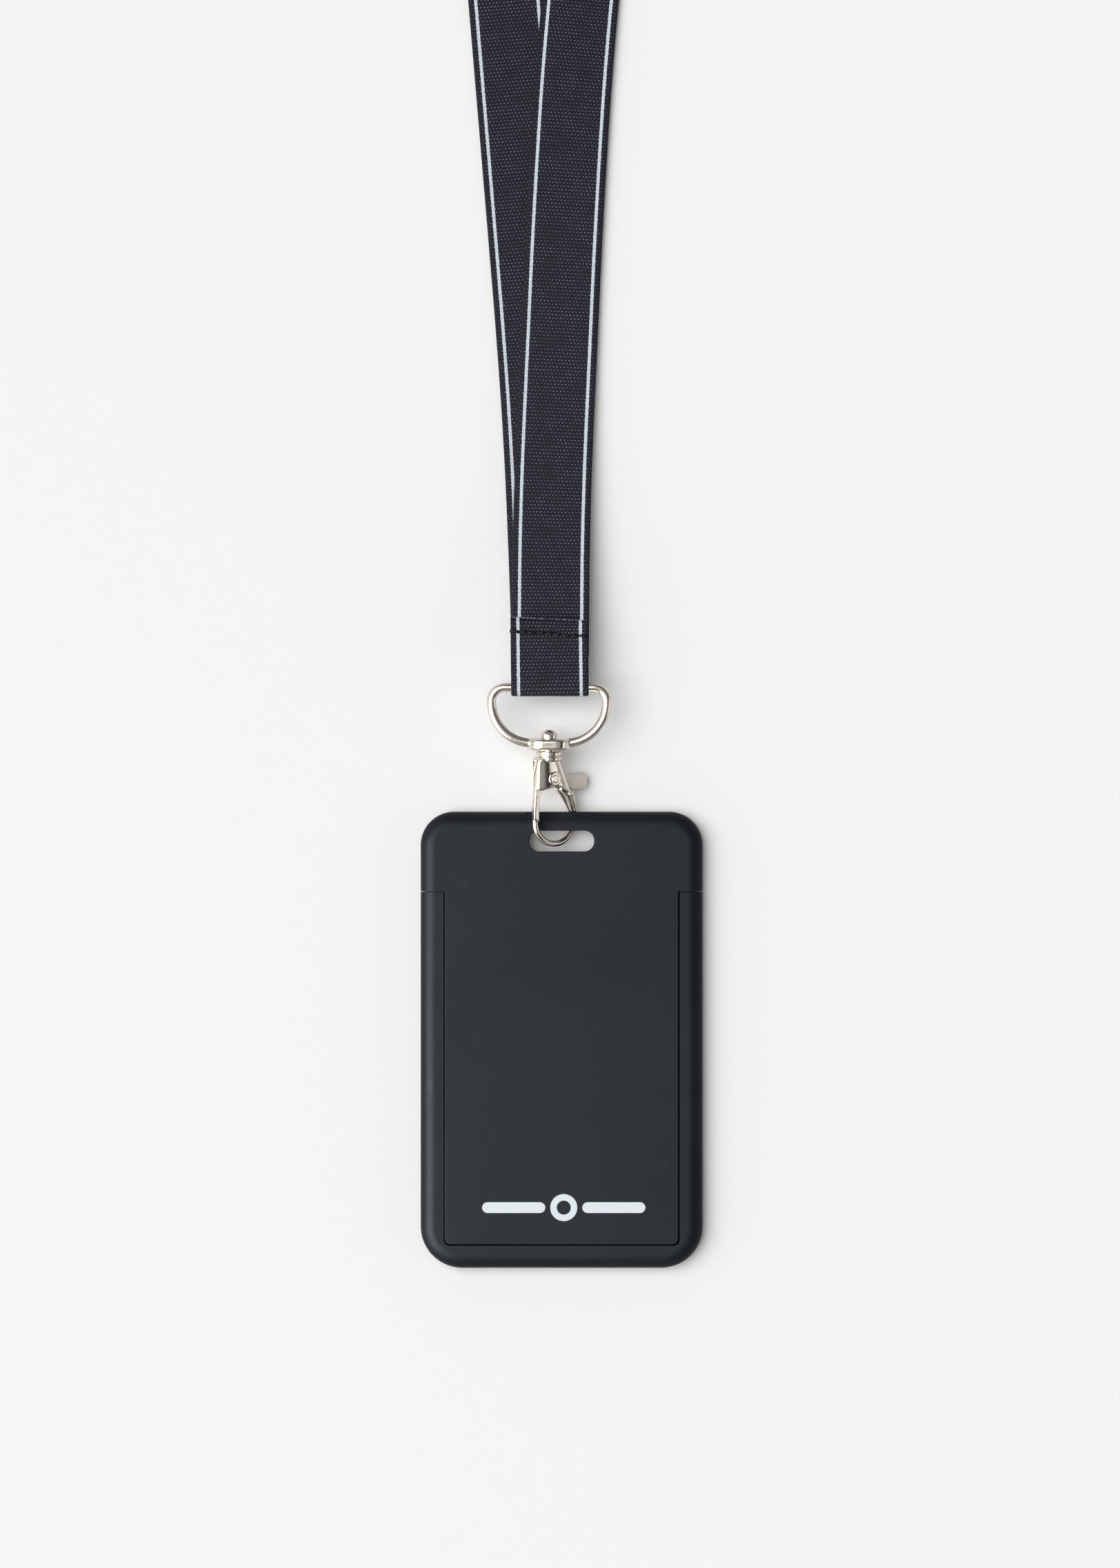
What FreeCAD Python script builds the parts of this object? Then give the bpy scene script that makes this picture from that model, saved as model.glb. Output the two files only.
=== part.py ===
import FreeCAD, Part

import math
import os

import Sketcher
from FreeCAD import Placement, Rotation, Vector

# Lanyard badge holder, lying face up on a surface.
# X runs across the card case, Y along it towards the neck strap, Z up.
# The surface is z = 0, and the origin is under the middle of case and metal fittings.

SIZES = [
    ("case_width", 68.0, "outside width of the card case"),
    ("case_low", -70.5, "Y of the case's lower end"),
    ("case_high", 39.5, "Y of the case's upper end"),
    ("case_thickness", 6.0, "thickness of the case"),
    ("head_corner", 8.0, "corner radius at the upper end"),
    ("foot_corner", 10.0, "corner radius at the lower end"),
    ("edge_round", 3.4, "round-over of the outer front edge"),
    ("back_round", 1.0, "round-over of the outer back edge"),
    ("head_low", 20.4, "Y where the full-width head of the slider ends"),
    ("panel_width", 56.3, "width of the slider's panel between the rails"),
    ("panel_low", -64.7, "Y of the panel's lower end"),
    ("panel_corner", 1.5, "corner radius of the panel's lower end"),
    ("seam_gap", 0.25, "visible gap between slider and frame"),
    ("back_wall", 1.4, "thickness of the frame's back wall"),
    ("panel_back", 1.7, "Z of the slider's underside"),
    ("lip_height", 0.45, "thickness of the lips that hold the card"),
    ("card_width", 54.6, "width of the card pocket, for a 54 mm card"),
    ("card_high", 21.5, "Y of the card pocket's closed end"),
    ("card_depth", 1.3, "depth of the card pocket"),
    ("lip_opening", 53.0, "opening between the lips"),
    ("slot_width", 15.6, "width of the hanging slot"),
    ("slot_low", 29.95, "Y of the slot's lower edge"),
    ("slot_high", 34.95, "Y of the slot's upper edge"),
    ("slot_corner", 2.35, "corner radius of the slot"),
    ("bridge_back", 4.1, "Z of the back of the thin bridge over the slot"),
    ("recess_width", 17.6, "width of the recess behind the bridge"),
    ("recess_low", 29.2, "Y where that recess starts"),
    ("lip_reach", 1.2, "depth of the lip that squares up the bridge's outer edge"),
    ("lip_low", 4.28, "Z of that lip's underside"),
    ("lip_rise", 0.46, "thickness of that lip"),
    ("lip_run", 0.66, "length of the slope that blends that lip into the case's round-over"),
    ("tongue_reach", 29.3, "X of the guide tongue's tip"),
    ("tongue_low", -62.0, "Y of the tongue's lower end"),
    ("tongue_high", -42.0, "Y of the tongue's upper end"),
    ("tongue_back", 2.6, "Z of the tongue's underside"),
    ("tongue_front", 3.8, "Z of the tongue's upper side"),
    ("groove_play", 0.3, "play of the tongue in its groove"),
    ("groove_high", 18.0, "Y where the groove ends and stops the tongue"),
    ("window_width", 48.0, "width of the window in the back wall"),
    ("window_low", -60.0, "Y of the window's lower edge"),
    ("window_high", 12.0, "Y of the window's upper edge"),
    ("window_seat", 1.5, "width of the ledge that the pane lies on"),
    ("pane_thickness", 0.7, "thickness of the clear pane"),
    ("pane_play", 0.1, "play round the clear pane"),
    ("axis_shift", -3.03, "X of the swivel axis"),
    ("seat_along", 31.79, "Y of the hook wire's lowest point on that axis"),
    ("seat_height", 5.74, "Z of the swivel axis at that point"),
    ("pitch", 5.0, "rise of the fittings towards the strap, degrees"),
    ("twist", 30.0, "turn of the hook about the swivel axis, degrees"),
    ("eye_centre", 1.48, "offset of the hook's round end from the axis"),
    ("eye_radius", 5.28, "centre-line radius of the hook's round end"),
    ("hook_wire", 1.52, "thickness of the hook's round end"),
    ("hook_depth", 4.4, "thickness of the hook's body"),
    ("channel", 1.9, "width of the lever channel in the hook"),
    ("pin_across", 0.4, "offset of the lever pin from the axis"),
    ("pin_along", 15.85, "distance of the lever pin along the axis"),
    ("pin_width", 1.75, "diameter of the lever pin"),
    ("pin_boss", 3.1, "diameter of the raised ring round the pin"),
    ("collar_width", 6.3, "diameter of the hook's collar"),
    ("collar_low", 20.1, "start of the collar along the axis"),
    ("collar_high", 22.4, "end of the collar along the axis"),
    ("lever_depth", 1.5, "thickness of the lever"),
    ("tab_depth", 1.1, "thickness of the lever's thumb tab"),
    ("spring_wire", 0.26, "wire of the lever's spring"),
    ("ring_wire", 2.2, "wire of the D-ring"),
    ("ring_bar", 37.75, "distance of the D-ring's straight bar along the axis"),
    ("ring_half", 13.83, "half width of the D-ring on its centre line"),
    ("ring_corner", 3.2, "centre-line radius at the ends of the bar"),
    ("ring_sweep", 9.8, "centre-line radius of the ring's round side"),
    ("ring_depth", 13.4, "distance between the bar and the ring's far side"),
    ("boss_width", 10.3, "width of the ring's swivel eye"),
    ("boss_depth", 7.0, "depth of the ring's swivel eye"),
    ("boss_low", 22.8, "start of the swivel eye along the axis"),
    ("boss_high", 25.4, "end of the swivel eye along the axis"),
    ("rivet_width", 3.1, "diameter of the swivel rivet's shank"),
    ("rivet_head", 4.0, "diameter of the swivel rivet's head"),
    ("rivet_play", 0.05, "radial play of the shank in the swivel eye"),
    ("strap_width", 19.0, "width of the neck strap"),
    ("strap_thickness", 0.9, "thickness of the neck strap"),
    ("stitch_width", 0.5, "thickness of the seam's thread"),
    ("seam_along", 82.2, "Y of the seam"),
]

# Route of the strap's middle: x, y, z and the angle by which its outer edge is lifted.
# It runs from the sewn-in end up the front leg, round the neck, down the rear leg,
# round the D-ring's bar and ends in the short flap on top.
STRAP_ROUTE = [
    (-2.75, 77.0, 8.40, 0),
    (-2.68, 88.0, 7.22, 0),
    (-2.55, 104.0, 5.02, 0),
    (-1.95, 125.0, 2.82, 0),
    (-0.8, 150.0, 1.70, 0),
    (0.8, 185.0, 1.52, 0),
    (3.4, 226.0, 1.50, 0),
    (7.2, 260.3, 0.60, 2),
    (16, 293.7, 3.40, 18),
    (30.3, 326.6, 6.75, 42),
    (47.5, 358.1, 9.00, 68),
    (61.5, 389.5, 9.55, 88),
    (61.8, 431.4, 9.55, 90),
    (36.6, 466.1, 9.55, 90),
    (-4.2, 479.4, 9.55, 90),
    (-45, 466.1, 9.55, 90),
    (-70.2, 431.4, 9.55, 90),
    (-69.6, 389.0, 9.55, 87),
    (-56, 357.6, 9.00, 66),
    (-39.8, 325.2, 6.75, 40),
    (-25.3, 292.8, 3.40, 16),
    (-15.3, 259.4, 0.60, 1),
    (-12.45, 226.0, 0.50, 0),
    (-9, 185.0, 0.50, 0),
    (-6.1, 150.0, 0.66, 0),
    (-4.5, 125.0, 1.78, 0),
    (-3.6, 104.0, 3.98, 0),
    (-3, 88.0, 6.18, 0),
    (-2.85, 78.0, 7.28, 0),
    (-2.8, 73.0, 7.47, 0),
    (-2.8, 67.7, 7.33, 0),
    (-2.8, 67.7, 10.73, 0),
    (-2.86, 71.4, 10.58, 0),
    (-2.94, 77.0, 9.52, 0),
    (-3.02, 85.8, 8.55, 0),
]


def make_sheet(doc):
    """Keep every driving size in a cell with an alias."""
    sheet = doc.addObject("Spreadsheet::Sheet", "Sizes")
    for row, (alias, value, note) in enumerate(SIZES, start=1):
        sheet.set(f"A{row}", alias)
        sheet.set(f"B{row}", str(value))
        sheet.set(f"C{row}", note)
        sheet.setAlias(f"B{row}", alias)
    doc.recompute()
    return sheet


def new_body(doc, label):
    body = doc.addObject("PartDesign::Body", label)
    body.Label = label
    return body


def rectangle(body, name, left, right, low, high, height):
    """Draw a rectangle at a height over the body's XY plane, each side bound to an expression."""
    sketch = body.newObject("Sketcher::SketchObject", name)
    plane = next(item for item in body.Origin.OriginFeatures if item.Role == "XY_Plane")
    sketch.AttachmentSupport = [(plane, "")]
    sketch.MapMode = "FlatFace"
    sketch.setExpression("AttachmentOffset.Base.z", height)
    x0, x1, y0, y1 = [float(sketch.evalExpression(side)) for side in (left, right, low, high)]
    corners = [Vector(x0, y0, 0), Vector(x1, y0, 0), Vector(x1, y1, 0), Vector(x0, y1, 0)]
    for index in range(4):
        sketch.addGeometry(Part.LineSegment(corners[index], corners[(index + 1) % 4]))
    for index in range(4):
        sketch.addConstraint(Sketcher.Constraint("Coincident", index, 2, (index + 1) % 4, 1))
    for index, direction in enumerate(("Horizontal", "Vertical", "Horizontal", "Vertical")):
        sketch.addConstraint(Sketcher.Constraint(direction, index))
    sides = [
        ("DistanceX", 0, x0, "left_side", left),
        ("DistanceX", 1, x1, "right_side", right),
        ("DistanceY", 0, y0, "low_side", low),
        ("DistanceY", 2, y1, "high_side", high),
    ]
    for kind, line, value, title, expression in sides:
        number = sketch.addConstraint(Sketcher.Constraint(kind, -1, 1, line, 1, value))
        sketch.renameConstraint(number, title)
        sketch.setExpression(f"Constraints.{title}", expression)
    return sketch


def pad(body, name, left, right, low, high, height, length):
    """Add a block that rises from a height."""
    sketch = rectangle(body, name + "_outline", left, right, low, high, height)
    feature = body.newObject("PartDesign::Pad", name)
    feature.Profile = sketch
    feature.setExpression("Length", length)
    body.Document.recompute()
    return feature


def pocket(body, name, left, right, low, high, height, length):
    """Cut a block that rises from a height, and make sure that something was cut."""
    volume = body.Shape.Volume
    sketch = rectangle(body, name + "_outline", left, right, low, high, height)
    feature = body.newObject("PartDesign::Pocket", name)
    feature.Profile = sketch
    feature.Reversed = True
    feature.setExpression("Length", length)
    body.Document.recompute()
    if body.Shape.Volume >= volume:
        raise RuntimeError(f"{name} cuts nothing")
    return feature


def fillet(body, name, radius, chosen):
    """Round the edges of the body that pass the test."""
    base = body.Tip
    edges = [f"Edge{number}" for number, edge in enumerate(base.Shape.Edges, start=1) if chosen(edge)]
    if not edges:
        raise RuntimeError(f"{name} finds no edge")
    feature = body.newObject("PartDesign::Fillet", name)
    feature.Base = (base, edges)
    feature.setExpression("Radius", radius)
    body.Document.recompute()
    return feature


def slope(body, name, run, rise, chosen):
    """Bevel the edges of the body that pass the test, with a longer leg on the upper side."""
    base = body.Tip
    edges = [f"Edge{number}" for number, edge in enumerate(base.Shape.Edges, start=1) if chosen(edge)]
    if not edges:
        raise RuntimeError(f"{name} finds no edge")
    feature = body.newObject("PartDesign::Chamfer", name)
    feature.Base = (base, edges)
    feature.ChamferType = "Two distances"
    feature.setExpression("Size", run)
    feature.setExpression("Size2", rise)
    body.Document.recompute()
    return feature


def upright_at(points):
    """Test for a vertical edge at one of the given places."""
    def chosen(edge):
        box = edge.BoundBox
        if box.XLength > 0.01 or box.YLength > 0.01:
            return False
        return any(abs(box.XMin - x) < 0.02 and abs(box.YMin - y) < 0.02 for x, y in points)
    return chosen


def rim_at(height, keep):
    """Test for an edge that lies at one height and whose middle passes a second test."""
    def chosen(edge):
        box = edge.BoundBox
        if abs(box.ZMin - height) > 0.02 or box.ZLength > 0.02:
            return False
        middle = edge.valueAt((edge.FirstParameter + edge.LastParameter) / 2)
        return keep(middle.x, middle.y)
    return chosen


def make_slider(doc, size):
    """Front half of the case: the head with the hanging slot and the panel that covers the card."""
    body = new_body(doc, "badge_slider")
    half = size.case_width / 2
    side = size.panel_width / 2
    head = "Sizes.head_low"
    pad(body, "head", "-Sizes.case_width / 2", "Sizes.case_width / 2", head, "Sizes.case_high",
        "0", "Sizes.case_thickness")
    fillet(body, "head_corners", "Sizes.head_corner",
           upright_at([(-half, size.case_high), (half, size.case_high)]))
    pad(body, "panel", "-Sizes.panel_width / 2", "Sizes.panel_width / 2",
        "Sizes.panel_low", "Sizes.head_low + 2",
        "Sizes.panel_back", "Sizes.case_thickness - Sizes.panel_back")
    fillet(body, "panel_corners", "Sizes.panel_corner",
           upright_at([(-side, size.panel_low), (side, size.panel_low)]))

    def outer_rim(x, y):
        return y > size.head_low + 0.1 and (abs(x) > side + 3 or y > size.case_high - 0.1)

    fillet(body, "front_round", "Sizes.edge_round", rim_at(size.case_thickness, outer_rim))
    fillet(body, "back_edge", "Sizes.back_round", rim_at(0, outer_rim))
    pad(body, "guide_tongues", "-Sizes.tongue_reach", "Sizes.tongue_reach", "Sizes.tongue_low",
        "Sizes.tongue_high", "Sizes.tongue_back", "Sizes.tongue_front - Sizes.tongue_back")
    pocket(body, "card_pocket", "-Sizes.card_width / 2", "Sizes.card_width / 2",
           "Sizes.panel_low - 1", "Sizes.card_high", "Sizes.panel_back + Sizes.lip_height",
           "Sizes.card_depth")
    pocket(body, "card_opening", "-Sizes.lip_opening / 2", "Sizes.lip_opening / 2",
           "Sizes.panel_low - 1", "Sizes.head_low", "Sizes.panel_back - 0.1",
           "Sizes.lip_height + 0.2")
    pocket(body, "hook_recess", "-Sizes.recess_width / 2", "Sizes.recess_width / 2",
           "Sizes.recess_low", "Sizes.case_high + 1", "-0.1", "Sizes.bridge_back + 0.1")
    pad(body, "bridge_lip", "-Sizes.recess_width / 2", "Sizes.recess_width / 2",
        "Sizes.case_high - Sizes.lip_reach", "Sizes.case_high", "Sizes.lip_low", "Sizes.lip_rise")
    pocket(body, "hanging_slot", "-Sizes.slot_width / 2", "Sizes.slot_width / 2",
           "Sizes.slot_low", "Sizes.slot_high", "Sizes.bridge_back - 0.1",
           "Sizes.case_thickness - Sizes.bridge_back + 0.2")
    ends = [(x, y) for x in (-size.slot_width / 2, size.slot_width / 2)
            for y in (size.slot_low, size.slot_high)]
    fillet(body, "slot_corners", "Sizes.slot_corner", upright_at(ends))
    fillet(body, "slot_rim", "Sizes.seam_gap", rim_at(
        size.case_thickness,
        lambda x, y: abs(x) < size.slot_width / 2 + 0.1 and size.slot_low - 0.1 < y < size.slot_high + 0.1))
    slope(body, "lip_slope", "Sizes.lip_run", "Sizes.lip_rise - 0.05", rim_at(
        size.lip_low + size.lip_rise, lambda x, y: y > size.case_high - 0.01))
    fillet(body, "panel_rim", "Sizes.seam_gap", rim_at(
        size.case_thickness,
        lambda x, y: y < size.head_low - 0.1 and (abs(x) > side - 1 or y < size.panel_low + 2)))
    return body


def make_frame(doc, size):
    """Rear half of the case: rails, foot and back wall in one moulding, which slides on the slider."""
    body = new_body(doc, "badge_frame")
    half = size.case_width / 2
    pad(body, "block", "-Sizes.case_width / 2", "Sizes.case_width / 2", "Sizes.case_low",
        "Sizes.head_low - Sizes.seam_gap", "0", "Sizes.case_thickness")
    fillet(body, "foot_corners", "Sizes.foot_corner",
           upright_at([(-half, size.case_low), (half, size.case_low)]))

    def outer_rim(x, y):
        return y < size.head_low - size.seam_gap - 0.1

    fillet(body, "front_round", "Sizes.edge_round", rim_at(size.case_thickness, outer_rim))
    fillet(body, "back_edge", "Sizes.back_round", rim_at(0, outer_rim))
    pocket(body, "panel_bay", "-Sizes.panel_width / 2 - Sizes.seam_gap",
           "Sizes.panel_width / 2 + Sizes.seam_gap", "Sizes.panel_low - Sizes.seam_gap",
           "Sizes.head_low + 1", "Sizes.back_wall", "Sizes.case_thickness")
    bay = size.panel_width / 2 + size.seam_gap
    fillet(body, "bay_corners", "Sizes.panel_corner",
           upright_at([(-bay, size.panel_low - size.seam_gap), (bay, size.panel_low - size.seam_gap)]))
    pocket(body, "guide_grooves", "-Sizes.tongue_reach - Sizes.groove_play",
           "Sizes.tongue_reach + Sizes.groove_play", "Sizes.tongue_low - Sizes.groove_play",
           "Sizes.groove_high", "Sizes.tongue_back - Sizes.groove_play",
           "Sizes.tongue_front - Sizes.tongue_back + 2 * Sizes.groove_play")
    pocket(body, "window", "-Sizes.window_width / 2", "Sizes.window_width / 2",
           "Sizes.window_low", "Sizes.window_high", "-0.1", "Sizes.back_wall + 0.2")
    ends = [(x, y) for x in (-size.window_width / 2, size.window_width / 2)
            for y in (size.window_low, size.window_high)]
    fillet(body, "window_corners", "Sizes.panel_corner", upright_at(ends))
    pocket(body, "pane_seat", "-Sizes.window_width / 2 - Sizes.window_seat",
           "Sizes.window_width / 2 + Sizes.window_seat", "Sizes.window_low - Sizes.window_seat",
           "Sizes.window_high + Sizes.window_seat", "Sizes.back_wall - Sizes.pane_thickness",
           "Sizes.pane_thickness + 0.1")
    return body


def make_pane(doc):
    """Clear pane that lies on the ledge of the window in the back wall."""
    body = new_body(doc, "clear_window")
    reach = "Sizes.window_width / 2 + Sizes.window_seat - Sizes.pane_play"
    pad(body, "pane", f"-({reach})", reach,
        "Sizes.window_low - Sizes.window_seat + Sizes.pane_play",
        "Sizes.window_high + Sizes.window_seat - Sizes.pane_play",
        "Sizes.back_wall - Sizes.pane_thickness", "Sizes.pane_thickness")
    return body


def feature(doc, label, shape, placement):
    """Put a ready shape into the document as a part of its own."""
    item = doc.addObject("Part::Feature", label)
    item.Label = label
    item.Shape = shape
    item.Placement = placement.multiply(shape.Placement)
    return item


def prism(points, depth):
    """Extrude a closed outline in the hook's plane evenly to both sides of it."""
    wire = Part.makePolygon([Vector(x, y, -depth / 2) for x, y in points + points[:1]])
    return Part.Face(wire).extrude(Vector(0, 0, depth))


def post(radius, x, y, depth):
    """Cylinder through the hook's plane."""
    return Part.makeCylinder(radius, depth, Vector(x, y, -depth / 2))


def turned(radius, low, high):
    """Cylinder along the swivel axis."""
    return Part.makeCylinder(radius, high - low, Vector(0, low, 0), Vector(0, 1, 0))


def rounded(shape, radius, chosen):
    """Round the chosen edges of a shape."""
    return shape.makeFillet(radius, [edge for edge in shape.Edges if chosen(edge)])


def upright(edge):
    """Test for an edge that runs straight through the hook's plane."""
    box = edge.BoundBox
    return box.XLength < 0.01 and box.YLength < 0.01


def flat_rim(depth):
    """Test for the outline's edges on both faces of a prism of this depth."""
    def chosen(edge):
        box = edge.BoundBox
        return box.ZLength < 0.01 and abs(abs(box.ZMin) - depth / 2) < 0.01
    return chosen


def oval(centre, along, half_width, half_depth):
    """Closed oval section across the direction along, which lies in the hook's plane."""
    across = Vector(along.y, -along.x, 0).normalize()
    reach = [(across, half_width), (Vector(0, 0, 1), half_depth)]
    reach.sort(key=lambda pair: -pair[1])
    (major, long_half), (minor, short_half) = reach
    long_half = max(long_half, short_half + 0.001)
    curve = Part.Ellipse(centre + major * long_half, centre + minor * short_half, centre)
    return Part.Wire(curve.toShape())


# Slanted joint between the hook's nose and the gate, as a line in the hook's plane.
JOINT_OUTER = (-5.2, 6.50)
JOINT_INNER = (-2.4, 4.93)


def make_hook_body(size):
    """Die-cast lobster hook: cheeked body, round end, nose and collar."""
    outline = [(-3.1, 20.9), (2.2, 20.9), (3.95, 16.4), (5.85, 11.6), (4.75, 11.6), (4.25, 12.5),
               (3.2, 13.4), (1.3, 13.95), (-2.9, 13.0), (-4.0, 13.2), (-4.0, 19.8)]
    body = prism(outline, size.hook_depth)
    corners = [(-4.0, 19.8), (-4.0, 13.2), (-3.1, 20.9)]
    body = rounded(body, 0.5, lambda edge: upright(edge) and any(
        abs(edge.BoundBox.XMin - x) < 0.01 and abs(edge.BoundBox.YMin - y) < 0.01 for x, y in corners))
    body = rounded(body, 0.55, lambda edge: flat_rim(size.hook_depth)(edge)
                   and edge.valueAt(edge.FirstParameter).y > 13.0)

    radius = size.hook_wire / 2
    right = size.eye_centre + size.eye_radius
    arm_stations = [
        (Vector(3.30, 14.5, 0), Vector(0.50, -0.87, 0), 1.25, 2.04),
        (Vector(3.85, 13.2, 0), Vector(0.48, -0.88, 0), 1.60, 2.08),
        (Vector(4.85, 11.9, 0), Vector(0.44, -0.90, 0), 1.60, 1.96),
        (Vector(5.42, 10.7, 0), Vector(0.40, -0.92, 0), 1.42, 1.70),
        (Vector(5.98, 9.3, 0), Vector(0.32, -0.95, 0), 1.22, 1.32),
        (Vector(6.42, 8.0, 0), Vector(0.22, -0.97, 0), 1.00, 1.04),
        (Vector(right, 6.4, 0), Vector(0, -1, 0), radius + 0.06, radius + 0.10),
        (Vector(right, 5.3, 0), Vector(0, -1, 0), radius - 0.08, radius - 0.06),
    ]
    arm = Part.makeLoft([oval(*station) for station in arm_stations], True, False)

    left = size.eye_centre - size.eye_radius
    inside = Vector(right, 6.5, 0)
    start = Vector(right, size.eye_radius, 0)
    bottom = Vector(size.eye_centre, 0, 0)
    end = Vector(left, size.eye_radius, 0)
    nose = Vector(left, size.eye_radius + 1.6, 0)
    path = Part.Wire([Part.LineSegment(inside, start).toShape(), Part.Arc(start, bottom, end).toShape(),
                      Part.LineSegment(end, nose).toShape()])
    section = Part.Face(Part.Wire(Part.Circle(inside, Vector(0, 1, 0), radius).toShape()))
    bend = path.makePipe(section)
    above = [JOINT_OUTER, JOINT_INNER, (-2.4, 9.0), (-5.2, 9.0)]
    bend = bend.cut(prism(above, size.hook_depth))

    collar = turned(size.collar_width / 2, size.collar_low, size.collar_high)
    collar = rounded(collar, 0.25, lambda edge: edge.Curve.TypeId == "Part::GeomCircle")
    shoulder = Part.makeCone(2.0, size.collar_width / 2 - 0.3, 1.1, Vector(0, 19.9, 0), Vector(0, 1, 0))
    boss = post(size.pin_boss / 2, size.pin_across, size.pin_along, size.hook_depth + 0.36)
    whole = body.fuse([arm, bend, collar, shoulder, boss])

    channel = [(-6.0, 20.3), (-1.1, 20.3), (-1.1, 18.9), (7.5, 18.9), (7.5, 12.62),
               (5.8, 12.62), (4.1, 12.98), (0.9, 13.66), (0.9, 11.2), (-6.0, 11.2)]
    cuts = [
        prism(channel, size.channel),
        post(size.pin_width / 2, size.pin_across, size.pin_along, 10),
        turned(size.rivet_width / 2, 20.95, 23),
        turned(size.collar_width / 2 + 1, 21.06, 21.44).cut(turned(size.collar_width / 2 - 0.45, 21.0, 21.5)),
    ]
    spring_room = post(1.75, size.pin_across, size.pin_along, 1.0)
    spring_room.translate(Vector(0, 0, size.channel / 2 + 0.1))
    return whole.cut(cuts + [spring_room]).removeSplitter()


def make_lever(size):
    """Gate lever: gate bar on the left, hub on the pin, thumb tab on the right."""
    gap = 0.12
    gate = [(-4.5, JOINT_OUTER[1] - 0.39 + gap), (-4.42, 9.0), (-4.1, 13.0), (-3.55, 17.0),
            (-2.85, 20.1), (-2.0, 20.0), (-1.5, 18.3), (-0.6, 17.2), (0.4, 14.2), (-1.6, 13.3),
            (-2.75, 11.9), (-3.0, 9.0), (-3.02, JOINT_INNER[1] + 0.35 + gap)]
    bar = prism(gate, size.lever_depth)
    bar = rounded(bar, 0.3, lambda edge: flat_rim(size.lever_depth)(edge)
                  and edge.CenterOfMass.x < -2.6)
    hub = post(1.9, size.pin_across, size.pin_along, size.lever_depth)
    tab = prism([(0.4, 14.0), (4.2, 13.2), (5.9, 12.8), (10.4, 12.8), (10.4, 16.9), (4.6, 16.9),
                 (0.4, 17.5)], size.tab_depth)
    tab = rounded(tab, 1.4, lambda edge: upright(edge) and edge.BoundBox.XMin > 10.3)
    tab = rounded(tab, 0.3, lambda edge: flat_rim(size.tab_depth)(edge)
                  and edge.CenterOfMass.x > 5.0)
    lever = bar.fuse([hub, tab])
    bore = post(size.pin_width / 2 + 0.05, size.pin_across, size.pin_along, 10)
    return lever.cut(bore).removeSplitter()


def make_pin(size):
    """Lever pin, riveted flush in the hook's cheeks."""
    pin = post(size.pin_width / 2, size.pin_across, size.pin_along, size.hook_depth + 0.5)
    return rounded(pin, 0.15, lambda edge: edge.Curve.TypeId == "Part::GeomCircle")


def make_spring(size):
    """Torsion spring of the lever, coiled round the pin beside the lever's hub."""
    radius = 1.28
    pitch = size.spring_wire + 0.03
    helix = Part.makeHelix(pitch, pitch * 1.5, radius)
    start = helix.Edges[0].valueAt(helix.Edges[0].FirstParameter)
    section = Part.Wire(Part.Circle(start, Vector(0, 1, 0), size.spring_wire / 2).toShape())
    coil = helix.makePipeShell([section], True, True)
    coil.translate(Vector(size.pin_across, size.pin_along, size.lever_depth / 2 + 0.16))
    return coil


def make_rivet(size):
    """Swivel rivet: its shank is held in the hook's collar and turns in the D-ring's eye."""
    under = size.boss_high + 0.1
    radius = size.rivet_head / 2
    shank = turned(size.rivet_width / 2, 21.0, under + 0.3)
    drum = turned(radius, under, under + 0.9)
    rise = 1.2
    sphere = (radius ** 2 + rise ** 2) / (2 * rise)
    ball = Part.makeSphere(sphere, Vector(0, under + 0.9 + rise - sphere, 0))
    dome = ball.common(turned(radius, under + 0.9, under + 0.9 + rise))
    return shank.fuse([drum, dome]).removeSplitter()


def make_ring(size):
    """D-ring of round wire, whose ends meet in a flattened swivel eye."""
    bar = size.ring_bar
    half = size.ring_half
    corner = size.ring_corner
    sweep = size.ring_sweep
    deep = bar - size.ring_depth
    flat = half - sweep
    slant = math.sqrt(0.5)

    def side(sign):
        """The half of the path on one side, from the middle of the bar to the eye."""
        top = Vector(sign * (half - corner), bar, 0)
        knee = Vector(sign * half, bar - corner, 0)
        hip = Vector(sign * half, deep + sweep, 0)
        foot = Vector(sign * flat, deep, 0)
        knee_middle = Vector(sign * (half - corner + corner * slant), bar - corner + corner * slant, 0)
        hip_middle = Vector(sign * (flat + sweep * slant), deep + sweep - sweep * slant, 0)
        return [
            Part.LineSegment(Vector(0, bar, 0), top).toShape(),
            Part.Arc(top, knee_middle, knee).toShape(),
            Part.LineSegment(knee, hip).toShape(),
            Part.Arc(hip, hip_middle, foot).toShape(),
            Part.LineSegment(foot, Vector(sign * 2.4, deep, 0)).toShape(),
        ]

    section = Part.Face(Part.Wire(
        Part.Circle(Vector(0, bar, 0), Vector(1, 0, 0), size.ring_wire / 2).toShape()))
    halves = [Part.Wire(side(sign)).makePipe(section) for sign in (-1, 1)]
    straight = size.boss_width / 2 - size.boss_depth / 2
    low = size.boss_low
    tall = size.boss_high - size.boss_low
    eye = Part.makeBox(2 * straight, tall, size.boss_depth, Vector(-straight, low, -size.boss_depth / 2))
    ends = [Part.makeCylinder(size.boss_depth / 2, tall, Vector(sign * straight, low, 0), Vector(0, 1, 0))
            for sign in (-1, 1)]
    eye = eye.fuse(ends).removeSplitter()
    eye = rounded(eye, 0.7, lambda edge: edge.BoundBox.YLength < 0.01)
    ring = halves[0].fuse([halves[1], eye])
    bore = turned(size.rivet_width / 2 + size.rivet_play, low - 1, size.boss_high + 3)
    return ring.cut(bore).removeSplitter()


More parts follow.
